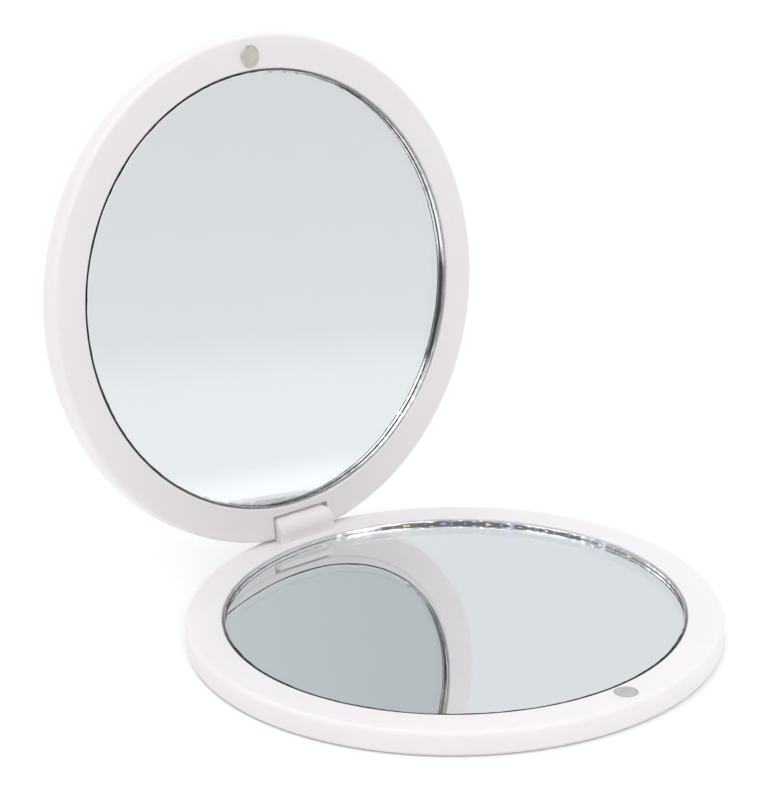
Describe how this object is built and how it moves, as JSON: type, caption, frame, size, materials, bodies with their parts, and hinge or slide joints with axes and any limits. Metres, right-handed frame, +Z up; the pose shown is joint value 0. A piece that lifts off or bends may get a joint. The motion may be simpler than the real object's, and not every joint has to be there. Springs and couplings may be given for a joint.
{
  "type": "folding compact mirror",
  "caption": "Round folding compact mirror standing open, a glass mirror in each moulded half, pinned rear hinge and a magnetic catch in the rims.",
  "frame": {"origin": "centre of the base's flat underside, where the open mirror stands on a surface", "axes": "+Z up out of the base, hinge pin along X at the rear towards +Y, user in front at -Y"},
  "size_m": [0.07, 0.08, 0.0725],
  "materials": {
    "moulded_plastic": "white moulded plastic, fine satin surface",
    "mirror_glass": "clear float glass with a ground edge",
    "silvering": "silvered back of the mirror, painted behind",
    "adhesive": "thin white adhesive film",
    "nickel_magnet": "nickel plated magnet, slightly dull",
    "pin_steel": "drawn steel wire"
  },
  "bodies": {
    "base": {"base_shell": "moulded_plastic", "base_mirror_glass": "mirror_glass", "base_mirror_silvering": "silvering", "base_mirror_adhesive": "adhesive", "base_magnet": "nickel_magnet"},
    "lid": {"lid_shell": "moulded_plastic", "lid_mirror_glass": "mirror_glass", "lid_mirror_silvering": "silvering", "lid_mirror_adhesive": "adhesive", "lid_magnet": "nickel_magnet", "hinge_pin": "pin_steel"}
  },
  "joints": [
    {"name": "lid_hinge", "type": "hinge", "parent": "base", "child": "lid", "pos_m": [0, 0.0337, 0.0043], "axis": [-1, 0, 0], "range_deg": [-97.4, 0]}
  ]
}
